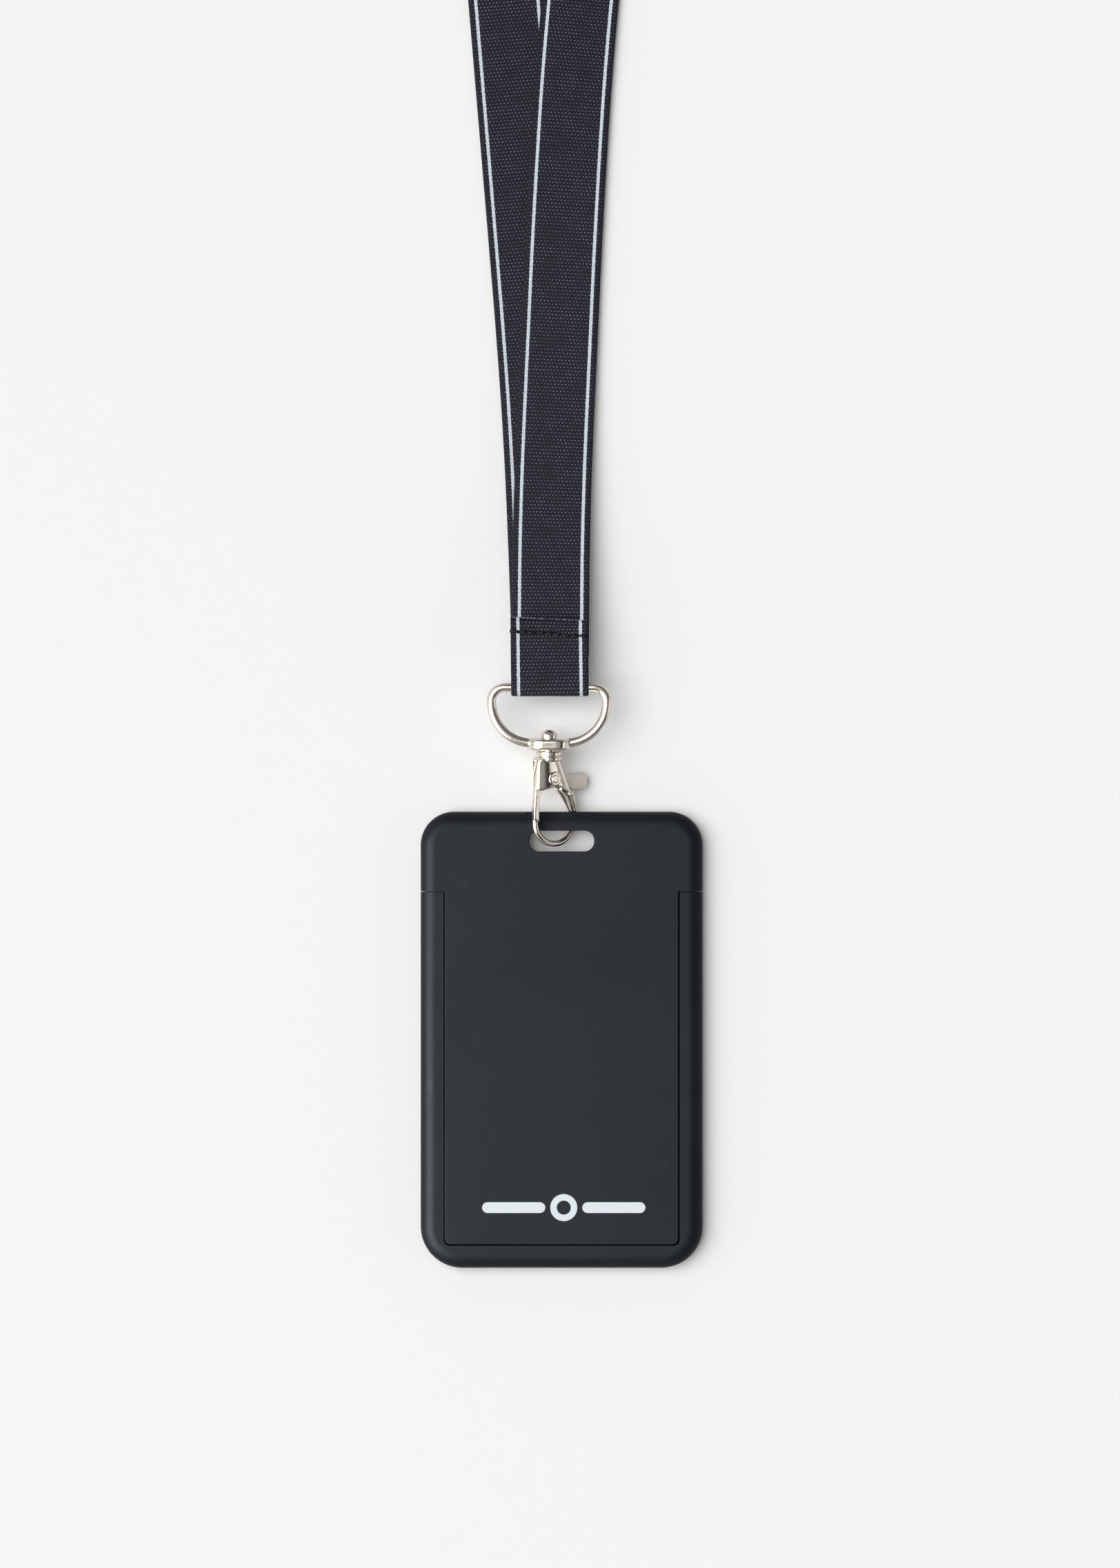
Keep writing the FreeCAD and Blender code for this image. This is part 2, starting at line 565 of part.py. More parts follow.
def arc_stations(before, corner, after, number):
    """Stations on the arc that rounds one point of the route, and the arc's radius."""
    inward = corner - before
    outward = after - corner
    reach = 0.45 * min(inward.Length, outward.Length)
    share_in = reach / inward.Length
    share_out = reach / outward.Length
    inward.normalize()
    outward.normalize()
    turn = inward.getAngle(outward)
    radius = reach / math.tan(turn / 2)
    hub = corner + (outward - inward).normalize() * (radius / math.cos(turn / 2))
    first = corner - inward * reach - hub
    normal = inward.cross(outward).normalize()
    steps = max(1, math.ceil(math.degrees(turn) / 9))
    stations = []
    for step in range(steps + 1):
        share = step / steps
        spin = Rotation(normal, math.degrees(turn) * share)
        place = hub + spin.multVec(first)
        tangent = spin.multVec(inward)
        stations.append((place, tangent, number - share_in + share * (share_in + share_out)))
    return stations, radius


def roll_at(position):
    """Lift of the strap's outer edge, in radians, at a position counted in route points."""
    index = min(int(position), len(STRAP_ROUTE) - 2)
    share = position - index
    return math.radians(STRAP_ROUTE[index][3] * (1 - share) + STRAP_ROUTE[index + 1][3] * share)


def with_twist_steps(stations):
    """Add stations on the straight runs along which the strap twists."""
    filled = [stations[0]]
    for before, after in zip(stations, stations[1:]):
        twist = math.degrees(abs(roll_at(after[2]) - roll_at(before[2])))
        steps = max(1, math.ceil(twist / 4))
        for step in range(1, steps + 1):
            share = step / steps
            filled.append((before[0] + (after[0] - before[0]) * share,
                           (before[1] + (after[1] - before[1]) * share).normalize(),
                           before[2] + (after[2] - before[2]) * share))
    return filled


def make_strap(size):
    """Neck strap: one flat band, swept along straight runs and tangent arcs."""
    points = [Vector(x, y, z) for x, y, z, lift in STRAP_ROUTE]
    begin = (points[1] - points[0]).normalize()
    finish = (points[-1] - points[-2]).normalize()
    stations = [(points[0], begin, 0.0)]
    radii = []
    for number in range(1, len(points) - 1):
        found, radius = arc_stations(points[number - 1], points[number], points[number + 1], number)
        stations += found
        radii.append(radius)
    stations.append((points[-1], finish, len(points) - 1.0))
    stations = with_twist_steps(stations)

    half = size.strap_width / 2
    thin = size.strap_thickness / 2
    up = Vector(0, 0, 1)
    side = Vector(1, 0, 0)
    sections = []
    length = 0.0
    last = None
    for place, tangent, position in stations:
        level = tangent.cross(up)
        if abs(tangent.z) > 0.9:
            level = side - tangent * side.dot(tangent)
        level.normalize()
        side = level if level.dot(side) > 0 else level * -1
        roll = roll_at(position)
        raised = side.cross(tangent)
        across = side * math.cos(roll) + raised * math.sin(roll)
        normal = across.cross(tangent)
        low = half * abs(math.sin(roll)) + thin * math.cos(roll) + 0.02
        place = Vector(place.x, place.y, max(place.z, low))
        if last is not None:
            length += (place - last).Length
        last = place
        corners = [place + across * (half * a) + normal * (thin * b)
                   for a, b in ((-1, -1), (1, -1), (1, 1), (-1, 1))]
        sections.append(Part.makePolygon(corners + corners[:1]))
    strap = Part.makeLoft(sections, True, True)
    if strap.Volume < 0:
        strap.reverse()
    print("strap arc radii", [round(radius, 1) for radius in radii])
    print("strap length", round(length, 1), "volume", round(strap.Volume),
          "section times length", round(length * size.strap_width * size.strap_thickness))
    return strap


def make_seam(size):
    """Row of stitches through the flap, the sewn-in end and the rear leg."""
    count = 12
    pitch = 1.42
    thread = size.stitch_width
    top = 9.4
    bottom = 6.2
    stitches = []
    for number in range(count):
        middle = Vector(-2.85 + (number - (count - 1) / 2) * pitch, size.seam_along, 0)
        stitch = Part.makeBox(pitch - 0.22, thread, top - bottom,
                              Vector(middle.x - pitch / 2 + 0.11, middle.y - thread / 2, bottom))
        stitches.append(rounded(stitch, 0.12, lambda edge: True))
    return Part.makeCompound(stitches)


def check(doc):
    """Stop if any object failed, or if a part's shape is empty or broken."""
    for item in doc.Objects:
        if "Invalid" in item.State or "Error" in item.State:
            raise RuntimeError(f"{item.Name} failed: {item.State}")
    for part in parts_of(doc):
        if part.Shape.isNull() or not part.Shape.isValid():
            raise RuntimeError(f"{part.Label} has no valid shape")
        print(part.Label, "volume", round(part.Shape.Volume, 2), "solids", len(part.Shape.Solids))


def parts_of(doc):
    """The bodies and shapes that are parts of their own."""
    return [item for item in doc.Objects if item.TypeId in ("PartDesign::Body", "Part::Feature")]


def main():
    doc = FreeCAD.newDocument("badge_holder")
    size = make_sheet(doc)
    make_slider(doc, size)
    make_frame(doc, size)
    make_pane(doc)

    seat = Vector(size.axis_shift, size.seat_along, size.seat_height)
    along_axis = Rotation(Vector(1, 0, 0), size.pitch)
    in_hook = along_axis.multiply(Rotation(Vector(0, 1, 0), size.twist))
    axis_place = Placement(seat, along_axis)
    hook_place = Placement(seat, in_hook)
    feature(doc, "hook_body", make_hook_body(size), hook_place)
    feature(doc, "gate_lever", make_lever(size), hook_place)
    feature(doc, "lever_pin", make_pin(size), hook_place)
    feature(doc, "lever_spring", make_spring(size), hook_place)
    feature(doc, "swivel_rivet", make_rivet(size), axis_place)
    feature(doc, "d_ring", make_ring(size), axis_place)
    feature(doc, "neck_strap", make_strap(size), Placement())
    feature(doc, "seam_stitching", make_seam(size), Placement())

    doc.recompute()
    check(doc)
    os.makedirs("parts", exist_ok=True)
    for part in parts_of(doc):
        part.Shape.exportStep(f"parts/{part.Label}.step")


main()
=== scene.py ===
import math
import random

import bpy
from mathutils import Matrix, Vector


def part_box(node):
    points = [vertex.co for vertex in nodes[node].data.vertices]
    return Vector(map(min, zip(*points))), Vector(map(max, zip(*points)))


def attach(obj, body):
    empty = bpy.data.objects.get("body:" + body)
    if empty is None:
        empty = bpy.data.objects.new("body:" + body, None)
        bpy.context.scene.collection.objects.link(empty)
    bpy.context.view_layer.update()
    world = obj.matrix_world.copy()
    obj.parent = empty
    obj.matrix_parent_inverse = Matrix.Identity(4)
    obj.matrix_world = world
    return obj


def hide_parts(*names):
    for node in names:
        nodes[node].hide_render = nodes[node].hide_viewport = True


# Lanyard badge holder, lying face up on a pale surface and seen from straight above.
# Row frame: X across the card case, Y along it towards the neck strap, Z up. Metres.

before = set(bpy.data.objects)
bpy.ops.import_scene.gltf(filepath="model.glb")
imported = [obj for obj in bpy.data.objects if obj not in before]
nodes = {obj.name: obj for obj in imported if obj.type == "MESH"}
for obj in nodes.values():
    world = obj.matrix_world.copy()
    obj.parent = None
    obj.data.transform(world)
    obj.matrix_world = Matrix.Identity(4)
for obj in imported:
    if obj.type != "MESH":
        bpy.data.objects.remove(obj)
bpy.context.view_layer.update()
MM = 0.001                   # one millimetre in metres


# ---------------------------------------------------------------- camera

VIEW_HEIGHT = 0.379          # length of the surface that the picture covers, top to bottom
VIEW_CENTRE = (-0.0004, 0.0462)
CAMERA_DISTANCE = 1.4
SENSOR = 36.0


def make_camera():
    data = bpy.data.cameras.new("camera")
    data.sensor_width = SENSOR
    data.lens = SENSOR * CAMERA_DISTANCE / VIEW_HEIGHT
    camera = bpy.data.objects.new("camera", data)
    camera.location = (VIEW_CENTRE[0], VIEW_CENTRE[1], CAMERA_DISTANCE)
    bpy.context.scene.collection.objects.link(camera)
    bpy.context.scene.camera = camera


make_camera()


# ---------------------------------------------------------------- meshes

def new_object(name, verts, faces, smooth=True):
    """Mesh object from points and faces."""
    mesh = bpy.data.meshes.new(name)
    mesh.from_pydata([tuple(v) for v in verts], [], faces)
    mesh.validate()
    if smooth:
        mesh.shade_smooth()
    piece = bpy.data.objects.new(name, mesh)
    bpy.context.scene.collection.objects.link(piece)
    return piece


SPLINE_STEPS = 12            # points made for each control point


def spline_points(points, name):
    """Points along the NURBS spline that has the given control points."""
    curve = bpy.data.curves.new(name, "CURVE")
    curve.dimensions = "3D"
    curve.resolution_u = SPLINE_STEPS
    spline = curve.splines.new("NURBS")
    spline.points.add(len(points) - 1)
    for point, place in zip(spline.points, points):
        point.co = (*place, 1.0)
    spline.order_u = 3
    spline.use_endpoint_u = True
    carrier = bpy.data.objects.new(name, curve)
    bpy.context.scene.collection.objects.link(carrier)
    bpy.context.view_layer.update()
    mesh = bpy.data.meshes.new_from_object(carrier)
    found = [v.co.copy() for v in mesh.vertices]
    bpy.data.objects.remove(carrier)
    bpy.data.meshes.remove(mesh)
    return found


def tube_faces(rings, count):
    """Faces of a closed tube whose points come in rings of the same count."""
    faces = []
    for ring in range(rings - 1):
        for step in range(count):
            other = (step + 1) % count
            faces.append((ring * count + step, ring * count + other,
                          (ring + 1) * count + other, (ring + 1) * count + step))
    faces.append(tuple(reversed(range(count))))
    faces.append(tuple((rings - 1) * count + step for step in range(count)))
    return faces


def add_shape(verts, faces, shape):
    """Append the points and faces of one shape to the lists of a larger mesh."""
    found, sides = shape
    faces += [tuple(corner + len(verts) for corner in face) for face in sides]
    verts += found


# ---------------------------------------------------------------- neck strap

# Route of the strap's middle: x, y, z in metres and the lift of its outer edge in degrees.
# From the sewn-in end up the front leg, round the neck, down the rear leg, round the
# D-ring's bar and into the short flap on top.
STRAP_ROUTE = [
    (-0.00275, 0.0770, 0.00840, 0),
    (-0.00268, 0.0880, 0.00722, 0),
    (-0.00255, 0.1040, 0.00502, 0),
    (-0.00195, 0.1250, 0.00282, 0),
    (-0.00080, 0.1500, 0.00170, 0),
    (0.00080, 0.1850, 0.00152, 0),
    (0.00340, 0.2260, 0.00150, 0),
    (0.00720, 0.2603, 0.00060, 2),
    (0.01600, 0.2937, 0.00340, 18),
    (0.03030, 0.3266, 0.00675, 42),
    (0.04750, 0.3581, 0.00900, 68),
    (0.06150, 0.3895, 0.00955, 88),
    (0.06180, 0.4314, 0.00955, 90),
    (0.03660, 0.4661, 0.00955, 90),
    (-0.00420, 0.4794, 0.00955, 90),
    (-0.04500, 0.4661, 0.00955, 90),
    (-0.07020, 0.4314, 0.00955, 90),
    (-0.06960, 0.3890, 0.00955, 87),
    (-0.05600, 0.3576, 0.00900, 66),
    (-0.03980, 0.3252, 0.00675, 40),
    (-0.02530, 0.2928, 0.00340, 16),
    (-0.01530, 0.2594, 0.00060, 1),
    (-0.01245, 0.2260, 0.00050, 0),
    (-0.00900, 0.1850, 0.00050, 0),
    (-0.00610, 0.1500, 0.00066, 0),
    (-0.00450, 0.1250, 0.00178, 0),
    (-0.00360, 0.1040, 0.00398, 0),
    (-0.00300, 0.0880, 0.00618, 0),
    (-0.00285, 0.0780, 0.00728, 0),
    (-0.00280, 0.0730, 0.00747, 0),
    (-0.00280, 0.0677, 0.00733, 0),
    (-0.00280, 0.0677, 0.01073, 0),
    (-0.00286, 0.0714, 0.01058, 0),
    (-0.00294, 0.0770, 0.00952, 0),
    (-0.00302, 0.0858, 0.00855, 0),
]
STRAP_WIDTH = 0.0186
STRAP_THICKNESS = 0.00086
BAND_COLUMNS = 30            # mesh columns across the band
SELVEDGE = 0.00034           # width of the rounded edge
SELVEDGE_ANGLES = (25, 55, 90, 125, 155)
SELVEDGE_BULGE = 0.9         # share of the thickness that the rounded edge spans
SELVEDGE_THIN = 0.86         # share of the thickness beside it
SELVEDGE_TAPER = 0.0016      # width over which the band thins towards that edge
FLOOR_GAP = 0.00002          # gap between the strap and the floor
STEEP = 0.9                  # rise of the route from which the width keeps its direction
FLAP_START = 0.072           # y beyond which the last stretch counts as the flap
SEAM_LEFT = (-0.01215, 0.0829)     # x, y where the row of stitches starts and ends
SEAM_RIGHT = (0.00630, 0.0815)
SEAM_GROOVE = 0.0007         # half width of the groove that the stitches pull in
SEAM_DENT = 0.00030          # depth of that groove
SEAM_REACH = 0.0006          # cloth to either side of the seam that sets its height
CUT_SLANT = -0.050           # lean of the flap's cut end
CUT_BLEND = 0.003            # length over which the lean fades


def strap_stations():
    """Place, width direction and face direction at close steps along the strap."""
    places = spline_points([point[:3] for point in STRAP_ROUTE], "strap_route")
    lifts = spline_points([(point[3] * MM, 0, 0) for point in STRAP_ROUTE], "strap_lift")
    half = STRAP_WIDTH / 2
    thin = STRAP_THICKNESS / 2
    side = Vector((1, 0, 0))
    stations = []
    for number, place in enumerate(places):
        before = places[max(number - 1, 0)]
        after = places[min(number + 1, len(places) - 1)]
        tangent = (after - before).normalized()
        level = tangent.cross(Vector((0, 0, 1)))
        if abs(tangent.z) > STEEP:
            level = side - tangent * side.dot(tangent)
        level.normalize()
        side = level if level.dot(side) > 0 else -level
        lift = math.radians(lifts[number].x / MM)
        raised = side.cross(tangent)
        across = side * math.cos(lift) + raised * math.sin(lift)
        floor = half * abs(math.sin(lift)) + thin * math.cos(lift) + FLOOR_GAP
        place = Vector((place.x, place.y, max(place.z, floor)))
        stations.append((place, across, across.cross(tangent)))
    return stations


def band_outline():
    """Cross-section of the band as (across, up) points, with full, soft selvedges."""
    half = STRAP_WIDTH / 2
    thin = STRAP_THICKNESS / 2
    top = []
    for number in range(BAND_COLUMNS + 1):
        share = -1 + 2 * number / BAND_COLUMNS
        x = share * (half - SELVEDGE)
        inset = min(1.0, (half - abs(x)) / SELVEDGE_TAPER)
        full = SELVEDGE_THIN + (1 - SELVEDGE_THIN) * math.sin(inset * math.pi / 2)
        top.append((x, thin * full))
    bend = [(half - SELVEDGE + SELVEDGE * math.sin(a), thin * SELVEDGE_BULGE * math.cos(a))
            for a in map(math.radians, SELVEDGE_ANGLES)]
    under = [(x, -z) for x, z in reversed(top)]
    other = [(-x, -z) for x, z in bend]
    return top + bend + under + other


def sweep(name, stations, outline):
    """Closed mesh through the stations, with a UV map in metres: across the band, along it."""
    verts = []
    count = len(outline)
    along = [0.0]
    for before, after in zip(stations, stations[1:]):
        along.append(along[-1] + (after[0] - before[0]).length)
    for place, across, up in stations:
        verts += [place + across * x + up * z for x, z in outline]
    piece = new_object(name, verts, tube_faces(len(stations), count))
    layer = piece.data.uv_layers.new(name="band")
    for face in piece.data.polygons:
        for corner in face.loop_indices:
            vertex = piece.data.loops[corner].vertex_index
            layer.data[corner].uv = (outline[vertex % count][0], along[vertex // count])
    return piece


def seam_y(x):
    """Y of the slanting row of stitches at x."""
    share = (x - SEAM_LEFT[0]) / (SEAM_RIGHT[0] - SEAM_LEFT[0])
    return SEAM_LEFT[1] + share * (SEAM_RIGHT[1] - SEAM_LEFT[1])


def finish_flap(strap, stations, outline):
    """Slant the flap's cut end and pull its upper face in along the stitches."""
    first = len(stations) - 1
    while stations[first][0].y > FLAP_START:
        first -= 1
    count = len(outline)
    end = stations[-1][0].y
    for number in range(first, len(stations)):
        for step in range(count):
            co = strap.data.vertices[number * count + step].co
            if step < BAND_COLUMNS + 1:
                far = (co.y - seam_y(co.x)) / SEAM_GROOVE
                co.z -= SEAM_DENT * math.exp(-far * far)
            near = max(0.0, 1 - (end - stations[number][0].y) / CUT_BLEND)
            co.y += CUT_SLANT * (co.x - stations[number][0].x) * near
    strap.data.update()


def make_strap():
    """The woven band and the places along its middle."""
    stations = strap_stations()
    outline = band_outline()
    strap = sweep("neck_strap_band", stations, outline)
    finish_flap(strap, stations, outline)
    return strap, [place for place, across, up in stations]


strap, strap_path = make_strap()
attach(strap, "strap")
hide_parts("neck_strap")


# ---------------------------------------------------------------- seam thread and yarn ends

SEAM_STITCHES = 9
STITCH_STEPS = 16
STITCH_OVERLAP = 0.00012     # reach of a stitch past its own share of the row
STITCH_DRIFT = 0.00012       # most that a stitch is out of line
STITCH_WANDER = (0.00010, 4.1)     # sway of the row to either side, and its phase per stitch
STITCH_CREST = 0.00036       # height of a stitch over its ends
STITCH_SINK = 0.00014        # depth of those ends in the cloth
THREAD_RADIUS = 0.00034
THREAD_NIP = 0.82            # share of the radius that is left where a stitch dips
PLY_TURN = math.pi * 2.2     # how far the two plies wind round each other in a stitch
PLY_OFFSET = (0.00013, 0.00008)    # distance of each ply from the middle, sideways and up
YARNS = 130
YARN_SPREAD = 0.0089         # half of the cut end's length that the yarns fill
YARN_ROOT = 0.00015          # depth of a yarn's foot in the cut end
YARN_SHARES = (0, 0.25, 0.5, 0.75, 1)
YARN_RADII = (0.000075, 0.00008, 0.00008, 0.000075, 0.00005)
YARN_JITTER = 0.35           # how unevenly the yarns are spaced
YARN_FEET = (-0.0001, 0.00042)     # lowest and highest foot, from the band's middle
YARN_LENGTH = (0.00020, 0.00042)
YARN_CURL = 0.00012


def thread_tube(rail, radius, sides=10):
    """Points and faces of a closed round thread along the rail's points."""
    verts = []
    for number, place in enumerate(rail):
        ahead = rail[min(number + 1, len(rail) - 1)]
        behind = rail[max(number - 1, 0)]
        tangent = (ahead - behind).normalized()
        across = tangent.cross(Vector((0, 0, 1))).normalized()
        up = across.cross(tangent)
        for step in range(sides):
            angle = 2 * math.pi * step / sides
            spoke = across * math.cos(angle) + up * math.sin(angle)
            verts.append(place + spoke * radius[number])
    return verts, tube_faces(len(rail), sides)


def stitch_row(height, lean, seed):
    """One row of lock stitches: every stitch bulges out and its ends pull into the cloth."""
    verts = []
    faces = []
    noise = random.Random(seed)
    span = (SEAM_RIGHT[0] - SEAM_LEFT[0]) / SEAM_STITCHES
    for stitch in range(SEAM_STITCHES):
        start = SEAM_LEFT[0] + span * stitch - STITCH_OVERLAP
        drift = noise.uniform(-STITCH_DRIFT, STITCH_DRIFT)
        for ply in (-1, 1):
            rail = []
            radius = []
            for step in range(STITCH_STEPS + 1):
                share = step / STITCH_STEPS
                x = start + (span + 2 * STITCH_OVERLAP) * share
                arch = math.sin(math.pi * share)
                angle = PLY_TURN * share + stitch
                y = seam_y(x) + drift + PLY_OFFSET[0] * ply * math.cos(angle)
                y += STITCH_WANDER[0] * math.sin(STITCH_WANDER[1] * x / span)
                z = height + lean * (STITCH_CREST * arch ** 0.5 - STITCH_SINK)
                z += PLY_OFFSET[1] * ply * math.sin(angle)
                rail.append(Vector((x, y, z)))
                radius.append(THREAD_RADIUS * (THREAD_NIP + (1 - THREAD_NIP) * arch))
            add_shape(verts, faces, thread_tube(rail, radius))
    return verts, faces


def make_seam(strap):
    """The seam's thread, on the flap and under the rear leg."""
    middle = (SEAM_LEFT[1] + SEAM_RIGHT[1]) / 2
    heights = [v.co.z for v in strap.data.vertices if abs(v.co.y - middle) < SEAM_REACH]
    verts = []
    faces = []
    add_shape(verts, faces, stitch_row(max(heights) - SEAM_DENT, 1, 5))
    add_shape(verts, faces, stitch_row(min(heights), -1, 8))
    piece = new_object("seam_thread", verts, faces)
    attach(piece, "strap")
    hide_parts("seam_stitching")
    return piece


def make_fringe(end):
    """Short yarn ends that stand out of the flap's cut end."""
    noise = random.Random(21)
    verts = []
    faces = []
    for number in range(YARNS):
        spot = number + noise.uniform(-YARN_JITTER, YARN_JITTER)
        u = -YARN_SPREAD + 2 * YARN_SPREAD * spot / (YARNS - 1)
        start = Vector((end.x + u, end.y + CUT_SLANT * u - YARN_ROOT,
                        end.z + noise.uniform(*YARN_FEET)))
        lean = Vector((noise.uniform(-0.5, 0.5), 1.0, noise.uniform(-0.15, 0.35))).normalized()
        reach = noise.uniform(*YARN_LENGTH)
        bend = Vector((noise.uniform(-1, 1), 0, noise.uniform(-0.6, 0.2))) * YARN_CURL
        rail = [start + lean * reach * share + bend * share * share for share in YARN_SHARES]
        add_shape(verts, faces, thread_tube(rail, YARN_RADII, 6))
    piece = new_object("cut_end_fringe", verts, faces)
    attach(piece, "strap")
    return piece


# ---------------------------------------------------------------- printed mark

MARK_LOW = -0.0590           # lower edge of the pale mark
MARK_HEIGHT = 0.0065
MARK_MIDDLE = 0.0005
MARK_BAR = (0.0026, 0.0152)  # height and length of each bar
MARK_GAP = 0.0012            # space between the ring and each bar
MARK_HOLE = 0.52             # share of the ring's radius that is open
MARK_SIDES = 72
MARK_INK = 0.00004
MARK_ROOT = 0.00001          # depth of the ink in the plastic


def ring_points(centre, radius, count):
    return [(centre[0] + radius * math.cos(2 * math.pi * n / count),
             centre[1] + radius * math.sin(2 * math.pi * n / count)) for n in range(count)]


def pill_points(low, high, count=10):
    """Outline of a bar with round ends."""
    radius = (high[1] - low[1]) / 2
    middle = (low[1] + high[1]) / 2
    points = []
    for centre, turn in ((high[0] - radius, -90), (low[0] + radius, 90)):
        for step in range(count + 1):
            angle = math.radians(turn + 180 * step / count)
            points.append((centre + radius * math.cos(angle), middle + radius * math.sin(angle)))
    return points


def ink_layer(level, points, hole=None):
    """Points and faces of a flat layer of ink inside the outline, round the hole if it has one."""
    verts = []
    faces = []
    count = len(points)
    for z in (level - MARK_ROOT, level + MARK_INK):
        verts += [(x, y, z) for x, y in points + (hole or [])]
    step = len(verts) // 2
    if not hole:
        faces.append(tuple(reversed(range(count))))
        faces.append(tuple(count + n for n in range(count)))
    for n in range(count):
        m = (n + 1) % count
        faces.append((n, m, step + m, step + n))
        if hole:
            inner = count
            faces.append((inner + m, inner + n, inner + step + n, inner + step + m))
            faces.append((step + n, step + m, inner + step + m, inner + step + n))
            faces.append((m, n, inner + n, inner + m))
    return verts, faces


def make_mark():
    """A plain bar, a ring and another bar, printed as a thin layer of ink."""
    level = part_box("badge_slider")[1].z
    middle = MARK_LOW + MARK_HEIGHT / 2
    outer = MARK_HEIGHT / 2
    height, length = MARK_BAR
    inner_end = outer + MARK_GAP
    verts = []
    faces = []
    for side in (-1, 1):
        ends = sorted((MARK_MIDDLE + side * inner_end, MARK_MIDDLE + side * (inner_end + length)))
        bar = pill_points((ends[0], middle - height / 2), (ends[1], middle + height / 2))
        add_shape(verts, faces, ink_layer(level, bar))
    centre = (MARK_MIDDLE, middle)
    add_shape(verts, faces, ink_layer(level, ring_points(centre, outer, MARK_SIDES),
                                      ring_points(centre, outer * MARK_HOLE, MARK_SIDES)))
    piece = new_object("printed_mark", verts, faces, smooth=False)
    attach(piece, "slider")
    return piece


# ---------------------------------------------------------------- materials

class Nodes:
    """Short calls for the shader nodes of one material or world."""

    def __init__(self, tree):
        self.tree = tree

    def node(self, kind, inputs, **settings):
        made = self.tree.nodes.new(kind)
        for key, value in settings.items():
            setattr(made, key, value)
        for key, value in inputs.items():
            if isinstance(value, bpy.types.NodeSocket):
                self.tree.links.new(value, made.inputs[key])
            else:
                made.inputs[key].default_value = value
        return made

    def maths(self, operation, *values, clamp=False):
        made = self.node("ShaderNodeMath", dict(enumerate(values)),
                         operation=operation, use_clamp=clamp)
        return made.outputs[0]

    def plus(self, first, second, clamp=False):
        return self.maths("ADD", first, second, clamp=clamp)

    def minus(self, first, second, clamp=False):
        return self.maths("SUBTRACT", first, second, clamp=clamp)

    def times(self, first, second):
        return self.maths("MULTIPLY", first, second)

    def over(self, first, second):
        return self.maths("DIVIDE", first, second)

    def reach(self, x, y):
        """Distance of the point (x, y) from the origin."""
        return self.maths("SQRT", self.plus(self.times(x, x), self.times(y, y)))

    def span(self, value, low, high, start=0.0, end=1.0):
        """Smooth step from start to end while the value goes from low to high."""
        made = self.node("ShaderNodeMapRange", {0: value, 1: low, 2: high, 3: start, 4: end},
                         interpolation_type="SMOOTHSTEP")
        return made.outputs[0]

    def place(self, kind="Object"):
        return self.tree.nodes.new("ShaderNodeTexCoord").outputs[kind]

    def parts(self, vector):
        return self.node("ShaderNodeSeparateXYZ", {0: vector}).outputs

    def noise(self, vector, scale, detail=2.0, rough=0.5):
        made = self.node("ShaderNodeTexNoise", {"Vector": vector, "Scale": scale,
                                                "Detail": detail, "Roughness": rough})
        return made.outputs[0]

    def cells(self, vector, scale):
        made = self.node("ShaderNodeTexVoronoi", {"Vector": vector, "Scale": scale})
        return made.outputs["Distance"]

    def stretch(self, vector, scale, turn=(0, 0, 0)):
        made = self.node("ShaderNodeMapping", {"Vector": vector, "Scale": scale, "Rotation": turn})
        return made.outputs[0]

    def blend(self, share, first, second):
        """Mix of two colours."""
        made = self.node("ShaderNodeMix", {}, data_type="RGBA")
        for number, value in ((0, share), (6, first), (7, second)):
            if isinstance(value, bpy.types.NodeSocket):
                self.tree.links.new(value, made.inputs[number])
            else:
                made.inputs[number].default_value = value
        return made.outputs[2]


class Look(Nodes):
    """A principled material under construction."""

    def __init__(self, name, **values):
        self.material = bpy.data.materials.new(name)
        self.material.use_nodes = True
        super().__init__(self.material.node_tree)
        self.shader = self.tree.nodes["Principled BSDF"]
        for key, value in values.items():
            self.shader.inputs[key.replace("_", " ")].default_value = value

    def band(self):
        """Distance across and along the webbing in metres, and both as one vector."""
        flat = self.node("ShaderNodeUVMap", {}, uv_map="band").outputs[0]
        across, along, _ = self.parts(flat)
        return across, along, flat

    def feed(self, name, socket):
        self.tree.links.new(socket, self.shader.inputs[name])

    def bump(self, height, distance, strength):
        made = self.node("ShaderNodeBump", {"Height": height, "Distance": distance,
                                            "Strength": strength})
        self.feed("Normal", made.outputs[0])


def rgb(red, green, blue):
    """A colour given as it looks on screen, 0 to 255, in the shader's linear values."""
    return tuple((v / 255 / 12.92 if v / 255 <= 0.04045 else ((v / 255 + 0.055) / 1.055) ** 2.4)
                 for v in (red, green, blue)) + (1.0,)


WEAVE_ACROSS = 0.00086       # spacing of the raised threads
WEAVE_ALONG = 0.00084
STRIPE_PLACE = 0.00750       # middle of each pale stripe, from the middle of the band
STRIPE_HALF = 0.00042
STRIPE_SOFT = (0.00004, 0.00006)   # how far its edge fades outwards and inwards
BORDER = (0.0006, 0.0012)    # from the stripe out, where the painted highlights on the beads get dimmer
STRIPE_NIP = 0.00016         # how far each row of the weave nips the stripe in
STRIPE_FRAY = 0.00020
SPECK_SHIFT = 0.00016        # sideways step between the dark specks of odd and even rows
SPECK_HALF = 0.00011


